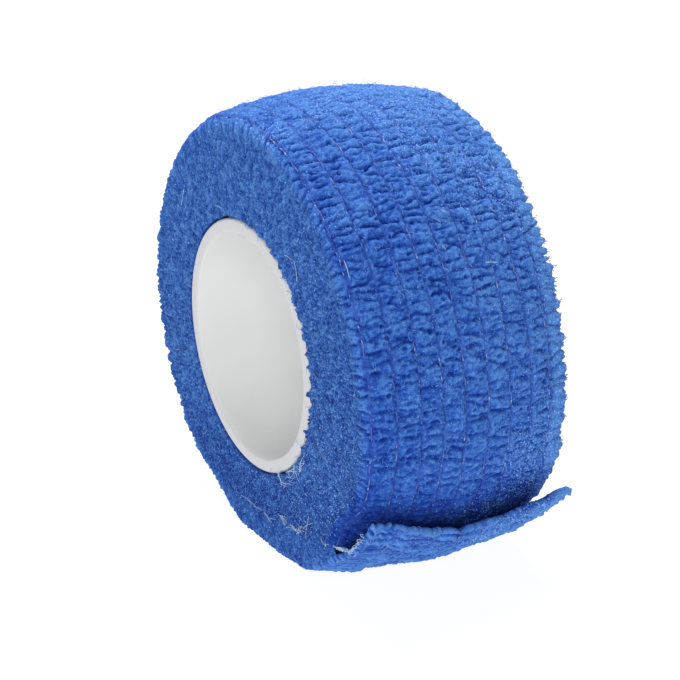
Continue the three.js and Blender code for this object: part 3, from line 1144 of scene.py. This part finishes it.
def make_yarn(name, specular, tone_mm, stops, bump_mm, bump_depth):
    material, tree, shader = new_material(name, 0.6, specular)
    colour = add_ramp(tree, add_noise(tree, tone_mm, 2), stops)
    tree.links.new(colour, shader.inputs["Base Color"])
    add_bump(tree, shader, add_noise(tree, bump_mm, 1), bump_depth, 0.5)
    return material


lilac_thread = make_yarn("lilac_thread", 0.4, 0.5, LILAC_STOPS, 0.05, 0.03)
print("material:", lilac_thread.name)

# %% Threads of the roll and of its loose end
THREAD_RADIUS = 0.065
THREAD_STEPS, END_THREAD_STEPS = 520, 120
THREAD_DEPTH, THREAD_DIP, THREAD_SWAY = 0.15, (0.02, 0.1), (0, 0.04)
END_THREAD_DEPTH, END_THREAD_DIP = 0.05, (0, 0.05)


def thread_path(x, seed):
    """A thread from the floor at the back, over the roll, down to where the end parts."""
    turn = np.linspace(359, 24, THREAD_STEPS)
    rng = np.random.default_rng(seed)
    sink = np.interp(turn, np.linspace(0, 360, 200), rng.normal(*THREAD_DIP, 200))
    radius = roll_radius(turn, x) - hollow(turn, x) - THREAD_DEPTH + sink
    sway = np.interp(turn, np.linspace(0, 360, 90), rng.normal(*THREAD_SWAY, 90))
    return place(turn, radius, x + sway, 0.1)


def end_thread_path(x, seed):
    """The same thread along the outer face of the loose end, up to the cut."""
    turn = np.linspace(12, float(ragged_cut(x)) - 0.6, END_THREAD_STEPS)
    rng = np.random.default_rng(seed)
    sink = np.interp(turn, np.linspace(0, 70, 50), rng.normal(*END_THREAD_DIP, 50))
    radius = inner_radius(turn, x) + STRIP_THICKNESS - END_THREAD_DEPTH + sink
    return place(turn, radius, x, 0.06)


thread_lines = np.array([thread_path(x, 70 + k) for k, x in enumerate(THREADS)])
tubes("stitch_threads", thread_lines, THREAD_RADIUS, 5, lilac_thread)
end_lines = np.array([end_thread_path(x, 90 + k) for k, x in enumerate(THREADS)])
tubes("end_threads", end_lines, THREAD_RADIUS, 5, lilac_thread)

# %% [markdown]
# ## Loose fibres
# Every fluffy cloth sheds short fibres, and they decide how soft it looks at its outline. A
# hair system would do, but its hairs are no mesh. So each fibre is a thin tube that starts on
# the cloth, runs along it in a bend, and arcs a little off it. Most are as blue as the cloth.

# %% Fibre helpers
FIBRE_POINTS = 5


def fibre_paths(points, normals, count, lengths, rise, seed):
    """Short bent fibres that start at random points of a surface and arc over it."""
    rng = np.random.default_rng(seed)
    pick = rng.integers(0, len(points), count)
    start, out = points[pick], normals[pick]
    first = np.cross(out, rng.standard_normal((count, 3)))
    first /= np.linalg.norm(first, axis=1, keepdims=True)
    second = np.cross(out, first)
    share = np.linspace(0, 1, FIBRE_POINTS)
    bend = rng.normal(0, 1.7, (count, 1)) * share
    heading = np.cos(bend)[..., None] * first[:, None] + np.sin(bend)[..., None] * second[:, None]
    reach = rng.uniform(*lengths, count)[:, None, None] / FIBRE_POINTS
    travel = np.cumsum(heading, axis=1) * reach
    lift = np.abs(rng.normal(0, rise, (count, 1))) * np.sin(0.85 * np.pi * share) + 0.02
    paths = start[:, None] + travel + out[:, None] * lift[..., None]
    paths[..., 2] = np.maximum(paths[..., 2], 0.05)
    return paths


def make_fibre(name, low, high):
    return make_yarn(name, 0.3, 1.3, [(0.35, *low), (0.65, *high)], 0.06, 0.02)


blue_fibre = make_fibre("blue_fibre", (0.05, 0.17, 0.56), (0.16, 0.37, 0.8))
white_fibre = make_fibre("white_fibre", (0.3, 0.5, 0.8), (0.62, 0.76, 0.9))
pale_fibre = make_fibre("pale_fibre", (0.2, 0.42, 0.85), (0.45, 0.67, 0.95))
print("fibre materials:", blue_fibre.name, white_fibre.name, pale_fibre.name)

# %% Fuzz on the outer face
FUZZ_RADIUS = 0.024
outer_normals = grid_normals(outer_points, closed_rows=True)
from_end = np.abs((turns - 15 + 180) % 360 - 180)
open_rows = from_end > 54
inner_lines = np.flatnonzero(np.abs(stations) < HALF_WIDTH - 1)
border_lines = np.arange(len(stations) - 9, len(stations) - 1)
OUTER_FUZZ = [
    # name, lines of the grid, count, lengths, rise, seed, radius
    ("outer_fuzz", inner_lines, 2400, (0.5, 1.4), 0.1, 101, FUZZ_RADIUS),
    ("border_fuzz", border_lines, 1100, (0.1, 0.35), 0.16, 103, 0.035),
]
for piece_name, lines, *form, fuzz_radius in OUTER_FUZZ:
    area = np.ix_(open_rows, lines)
    starts, away = outer_points[area].reshape(-1, 3), outer_normals[area].reshape(-1, 3)
    tubes(piece_name, fibre_paths(starts, away, *form), fuzz_radius, 3, blue_fibre)


# %% Fuzz on the sides
def side_fuzz(name, points, sign, count):
    disc = points[:, 2 : SIDE_RINGS + 1].reshape(-1, 3)
    away = np.tile([float(sign), 0.0, 0.0], (len(disc), 1))
    paths = fibre_paths(disc, away, count, (0.5, 1.6), 0.12, 100 + count)
    tubes(name, paths, FUZZ_RADIUS, 3, blue_fibre)


side_fuzz("left_fuzz", left_points, -1, 1700)
side_fuzz("right_fuzz", right_points, 1, 900)

# %% [markdown]
# ## White fibres
# White fibres of the yarn show through the blue as a few dashes. Many short pale-blue bits,
# most where the painted glint specks are, are painted glints: fibres that catch the light. Other
# white fibres have worked loose at the slit edge, mostly low on the side, where the last laps
# lift. Each row of the tables gives the two ends of such a fibre on the side, the number and size
# of its curls, and how many strands it has. A circle wound round a straight line gives the curls.
# The fibres of the first table run from end to end. A tuft, in the second, is a handful of short
# strands along its line, each turned a little.

# %% Pale bits as painted glints, and white dashes, on the outer face
WHITE_DASHES = [
    (126, -11.72, 122, -11.76),
    (118.7, 3.44, 118.2, 4.81),
    (130.4, -0.8, 129.4, -0.3),
    (132.2, 0.3, 131.4, 0.7),
    (124.2, -1.1, 123, -0.85),
    (119.2, -1.6, 118.2, -1.2),
]
DASH_RADII = [0.036, 0.036, 0.024, 0.024, 0.024, 0.024]
DASH_LIFT, DASH_ARC = 0.3, 0.1
BIT_COUNT, BIT_LENGTHS, BIT_RISE, BIT_RADIUS = 450, (0.15, 0.7), 0.04, 0.022


def dash_path(turn, x, last_turn, last_x):
    share = np.linspace(0, 1, FIBRE_POINTS)
    turn, x = turn + (last_turn - turn) * share, x + (last_x - x) * share
    arc = DASH_ARC * np.sin(np.pi * share)
    return place(turn, roll_radius(turn, x) + DASH_LIFT + arc, x, 0)


def glint_bits(seed):
    """Short pale fibres as painted glints, at random places of the outer face where it has many
    specks.
    """
    rng = np.random.default_rng(seed)
    area = np.ix_(from_end > 42, inner_lines)
    likely = outer_values["sparkle"][area] > rng.random(outer_values["sparkle"][area].shape)
    spots, away = outer_points[area][likely], outer_normals[area][likely]
    return fibre_paths(spots, away, BIT_COUNT, BIT_LENGTHS, BIT_RISE, seed + 1)


tubes("glint_bits", glint_bits(121), BIT_RADIUS, 3, pale_fibre)
dashes = np.array([dash_path(*dash) for dash in WHITE_DASHES])
tubes("white_dashes", dashes, DASH_RADII, 4, white_fibre)

# %% Places of the white fibres on the side
WHITE_FIBRES = [
    # y and z of one end, y and z of the other, curls, size of a curl, strands
    (13.87, 39.58, 15.51, 37.32, 0.4, 0.06, 1),
    (8.14, 38.31, 7.12, 37.73, 0.4, 0.1, 1),
    (5.35, 39.43, 3.63, 39.29, 0.5, 0.1, 1),
    (-11.1, 37.55, -13.28, 37.32, 0.4, 0.08, 1),
    (-13.28, 37.32, -13.32, 35.26, 0.4, 0.08, 1),
    (20.98, 24.42, 20.7, 24.7, 0.5, 0.08, 1),
    (19.68, 17.41, 19.4, 17.7, 0.5, 0.08, 1),
    (3.0, 3.8, 0.3, 3.9, 0.8, 0.07, 1),
    (1.2, 3.8, -2.1, 3.9, 1.3, 0.1, 1),
    (-16.6, 6.6, -17.6, 6.05, 0.6, 0.12, 1),
    (-17.5, 6.1, -18.4, 6.5, 0.7, 0.14, 1),
    (-19.5, 6.9, -19.8, 6.9, 1.2, 0.24, 1),
    (-20.0, 6.8, -22.75, 7.6, 3.4, 0.14, 5),
    (-22.6, 7.6, -24.3, 9.0, 2.6, 0.14, 4),
    (-24.3, 9.0, -25.4, 10.2, 1.8, 0.14, 2),
    (-25.5, 10.6, -25.7, 10.9, 1.2, 0.24, 1),
]
WHITE_TUFTS = [
    (-6.8, 10.7, -8.9, 9.4, 0.8, 0.12, 5),
    (-8.2, 9.4, -10.4, 11.2, 0.8, 0.12, 5),
    (-8.8, 11.0, -12.9, 13.9, 0.8, 0.13, 7),
    (-11.4, 11.6, -13.0, 14.2, 0.6, 0.12, 3),
    (-3.0, 3.7, -5.4, 4.1, 0.8, 0.1, 4),
    (-7.2, 5.2, -9.9, 5.0, 0.9, 0.12, 6),
    (-9.2, 4.9, -11.6, 5.3, 0.9, 0.14, 6),
    (-11.3, 5.3, -14.5, 7.4, 0.8, 0.13, 6),
]
print("strands:", sum(row[-1] for row in WHITE_FIBRES), sum(row[-1] for row in WHITE_TUFTS))

# %% Curls
CURL_POINTS = 24
CURL_RADIUS = 0.029
CURL_WIDENING = 1.6
TUFT_SHARE, TUFT_SPREAD, TUFT_TURN = (0.16, 0.4), 0.14, 0.5
STRAND_SPREAD = 0.18


def curly_path(ends, loops, size, rng):
    """A curl between two places on the side, as y, z pairs with a little depth in x."""
    share = np.linspace(0, 1, CURL_POINTS)
    phase = 2 * np.pi * (loops * share + rng.random())
    swing = size * (0.5 + 0.5 * np.sin(np.pi * share)) * rng.uniform(0.6, 1.2)
    y = ends[0] + (ends[2] - ends[0]) * share + CURL_WIDENING * swing * np.cos(phase)
    z = ends[1] + (ends[3] - ends[1]) * share + swing * np.sin(phase)
    x = -HALF_WIDTH - 0.28 - 0.08 * np.sin(phase + 1)
    return np.stack([x, y, z], axis=-1)


def tuft_ends(ends, rng):
    """Both ends of one strand of a tuft: part of the tuft's line, moved and turned a little."""
    first, last = np.array(ends[:2]), np.array(ends[2:])
    centre = first + (last - first) * rng.random() + rng.normal(0, TUFT_SPREAD, 2)
    along = (last - first) * rng.uniform(*TUFT_SHARE)
    turned = rng.normal(0, TUFT_TURN)
    across = np.array([-along[1], along[0]])
    half = along * math.cos(turned) + across * math.sin(turned)
    return [*(centre - half), *(centre + half)]


def white_paths():
    rng = np.random.default_rng(111)
    paths = []
    for *ends, loops, size, strands in WHITE_FIBRES:
        for _ in range(strands):
            spread = STRAND_SPREAD * min(strands - 1, 1)
            strand = np.array(ends) + rng.normal(0, 1, 4) * spread
            paths.append(curly_path(strand, loops * rng.uniform(0.8, 1.2), size, rng))
    for *ends, loops, size, strands in WHITE_TUFTS:
        for _ in range(strands):
            strand = tuft_ends(ends, rng)
            paths.append(curly_path(strand, loops * rng.uniform(0.6, 1.1), size, rng))
    return np.array(paths)


tubes("white_fibres", white_paths(), CURL_RADIUS, 4, white_fibre)

# %% [markdown]
# ## The core tube
# A plain moulded tube of white plastic. The solid's rims are cut with few sides, so a finer one
# is turned here: a profile with small rounded rims, swept round the axis. A bevel would do the
# same on a cylinder, but the sweep also says which points are rim. The rim is less bright, though
# it is the same plastic: painted shade on the rim and painted light in the bore.

# %% Core tube profile
CORE_TURNS = 192
RIM_STEPS = 6
RIM_RADIUS = 0.3


def core_profile():
    """Distance from the axis and place along it, round the wall of the tube."""
    arc = np.radians(np.linspace(0, 90, RIM_STEPS))
    inner_rim = CORE_INSIDE + RIM_RADIUS * (1 - np.cos(arc))
    inner_along = HALF_WIDTH - RIM_RADIUS * (1 - np.sin(arc))
    outer_rim = CORE_OUTSIDE - RIM_RADIUS * (1 - np.sin(arc))
    outer_along = HALF_WIDTH - RIM_RADIUS * (1 - np.cos(arc))
    radius = np.concatenate([inner_rim, outer_rim])
    along = np.concatenate([inner_along, outer_along])
    return np.concatenate([radius, radius[::-1]]), np.concatenate([along, -along[::-1]])


print("points round the wall:", len(core_profile()[0]))

# %% White plastic material
WALL_STOPS = [(0.3, 0.74, 0.75, 0.745), (0.7, 0.77, 0.78, 0.775)]
RIM_SHADED_WHITE = (0.59, 0.59, 0.62)


def make_core_material():
    material, tree, shader = new_material("white_plastic", 0.42, 0.5)
    colour = add_ramp(tree, add_noise(tree, 6, 2), WALL_STOPS)
    # Painted shade on the rim: it gets a darker white than the wall, though both are one plastic.
    colour = add_mix(tree, read_attribute(tree, "rim"), colour, RIM_SHADED_WHITE)
    tree.links.new(colour, shader.inputs["Base Color"])
    add_bump(tree, shader, add_noise(tree, 0.35, 2), 0.01, 0.3)
    return material


white_plastic = make_core_material()
print("material:", white_plastic.name)


# %% The tube
def make_core():
    radius, along = core_profile()
    angle = np.arange(CORE_TURNS) * 2 * np.pi / CORE_TURNS
    y = -radius[None, :] * np.sin(angle)[:, None]
    z = CORE_Z - radius[None, :] * np.cos(angle)[:, None]
    points = np.stack([along[None, :] + 0 * y, y, z], axis=-1)
    rows, columns = points.shape[:2]
    faces = grid_quads(rows, columns, closed_rows=True)
    first = np.arange(rows) * columns
    after = np.roll(first, -1)
    joint = np.stack([first + columns - 1, after + columns - 1, after, first], axis=1)
    faces = np.concatenate([faces, joint])
    rim = smooth_step(np.abs(points[..., 0]), HALF_WIDTH - 0.25, HALF_WIDTH - 0.05)
    piece = cloth_piece("core_sleeve", points, faces, {"rim": rim}, white_plastic)
    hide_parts("core_tube")


make_core()
